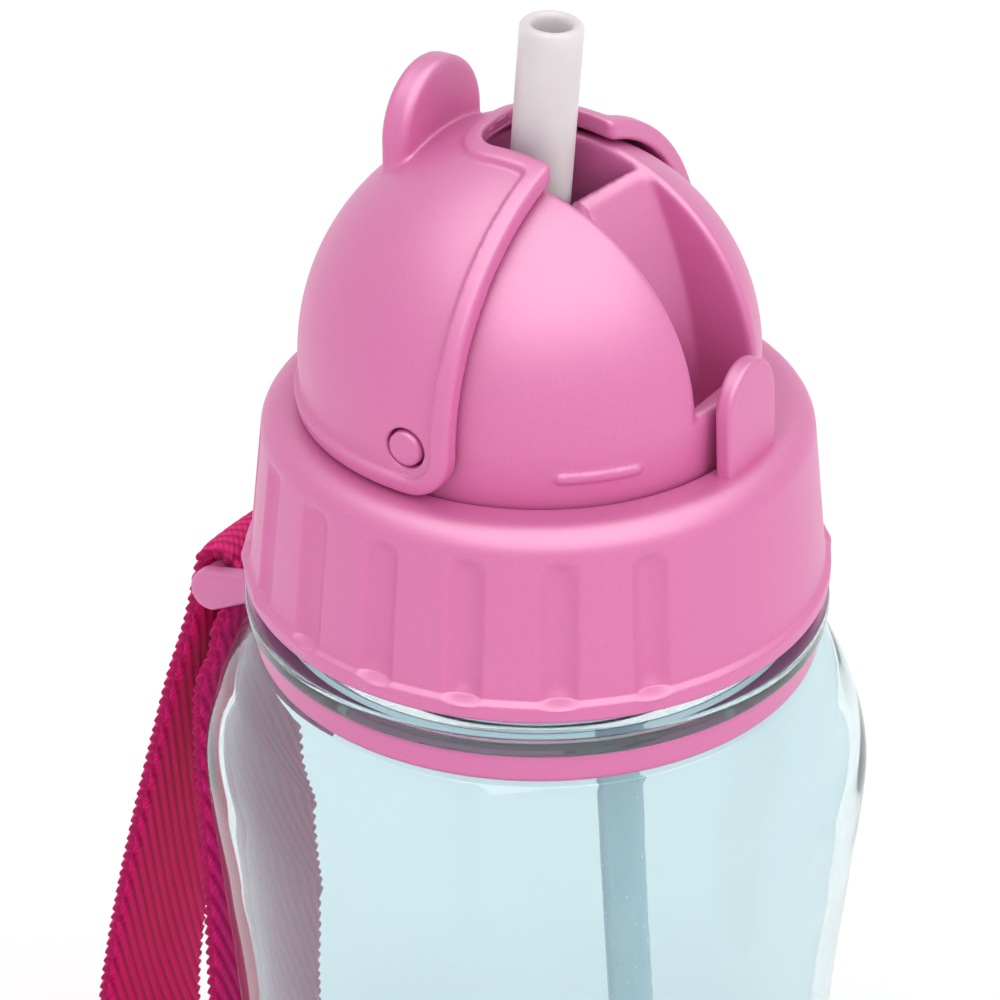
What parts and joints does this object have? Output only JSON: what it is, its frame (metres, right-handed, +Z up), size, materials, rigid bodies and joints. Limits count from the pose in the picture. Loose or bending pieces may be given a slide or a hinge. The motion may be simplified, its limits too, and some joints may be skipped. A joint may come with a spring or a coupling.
{
  "type": "kids straw bottle",
  "caption": "Clear waisted drinking bottle with a fluted screw lid, a domed flip cover that folds the silicone straw, and a webbing loop on a swivel ring.",
  "frame": {"origin": "centre of the flat middle of the bottle's base, where it stands", "axes": "+Z up the bottle's axis; -Y is the front, where the straw folds down; +Y is the back, where the strap hangs; the cover turns about an axis along X"},
  "size_m": [0.072, 0.0946, 0.1838],
  "materials": {
    "clear_body": "clear moulded plastic, gloss",
    "pink_ring": "satin moulded plastic",
    "pink_lid": "satin moulded plastic",
    "pink_cover": "satin moulded plastic",
    "magenta_webbing": "woven nylon webbing",
    "clear_silicone": "natural silicone",
    "milky_silicone": "translucent milky silicone",
    "straw_plastic": "translucent extruded tube"
  },
  "bodies": {
    "bottle": {"bottle_body": "clear_body"},
    "ring": {"strap_ring": "pink_ring"},
    "strap": {"strap_webbing": "magenta_webbing"},
    "seal": {"lid_gasket": "clear_silicone"},
    "lid": {"lid_collar": "pink_lid", "dome_insert": "pink_lid", "straw_root": "milky_silicone", "lower_straw": "straw_plastic", "vent_valve": "clear_silicone"},
    "cover": {"flip_cover": "pink_cover"},
    "straw": {"straw_tip": "milky_silicone"}
  },
  "joints": [
    {"name": "ring_swivel", "type": "hinge", "parent": "bottle", "child": "ring", "pos_m": [0, 0, 0.1161], "axis": [0, 0, 1], "continuous": true},
    {"name": "strap_swing", "type": "hinge", "parent": "ring", "child": "strap", "pos_m": [0, 0.035, 0.114], "axis": [1, 0, 0], "range_deg": [0, 80]},
    {"name": "lid_rise", "type": "slide", "parent": "bottle", "child": "seal", "axis": [0, 0, 1], "range_m": [0, 0.0057]},
    {"name": "lid_turn", "type": "hinge", "parent": "seal", "child": "lid", "pos_m": [0, 0, 0.122], "axis": [0, 0, 1], "range_deg": [0, 450]},
    {"name": "cover_pivot", "type": "hinge", "parent": "lid", "child": "cover", "pos_m": [0, 0, 0.1475], "axis": [1, 0, 0], "range_deg": [0, 86]},
    {"name": "straw_fold", "type": "hinge", "parent": "lid", "child": "straw", "pos_m": [0, -0.0032, 0.1643], "axis": [1, 0, 0], "range_deg": [0, 136], "deforming": ["straw_tip"]}
  ],
  "couplings": [
    {"joint": "lid_rise", "follows": "lid_turn", "m_per_rad": 0.0007162},
    {"joint": "straw_fold", "follows": "cover_pivot", "ratio": 1.57}
  ]
}
